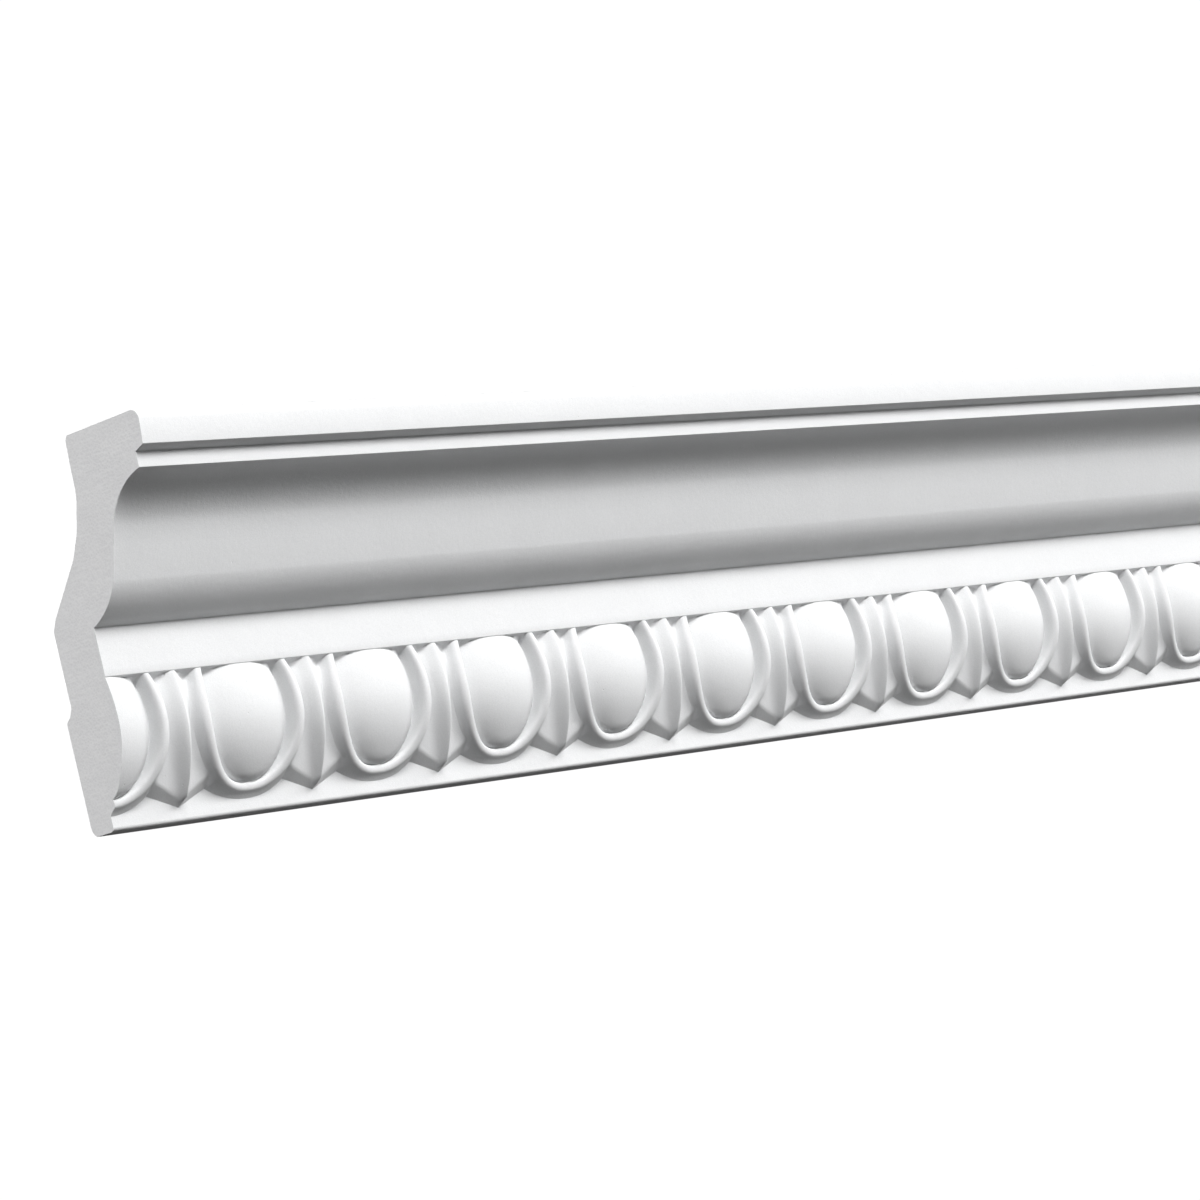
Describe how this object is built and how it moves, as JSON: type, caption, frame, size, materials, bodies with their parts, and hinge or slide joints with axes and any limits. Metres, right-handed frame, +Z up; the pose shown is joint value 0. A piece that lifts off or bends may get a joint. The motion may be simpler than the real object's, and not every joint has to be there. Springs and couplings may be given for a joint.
{
  "type": "cornice moulding section",
  "caption": "Straight length of cornice moulding with a square top member, a cyma and an egg-and-dart course, sawn square at both ends.",
  "frame": {"origin": "centre of the land that bears on the wall, midway along the length", "axes": "+X along the length, +Y into the wall, +Z up to the ceiling"},
  "size_m": [0.5698, 0.0485, 0.1],
  "materials": {
    "primed_white": "matte white primer on rigid foam"
  },
  "bodies": {
    "root": {"cornice_moulding": "primed_white"}
  },
  "joints": []
}
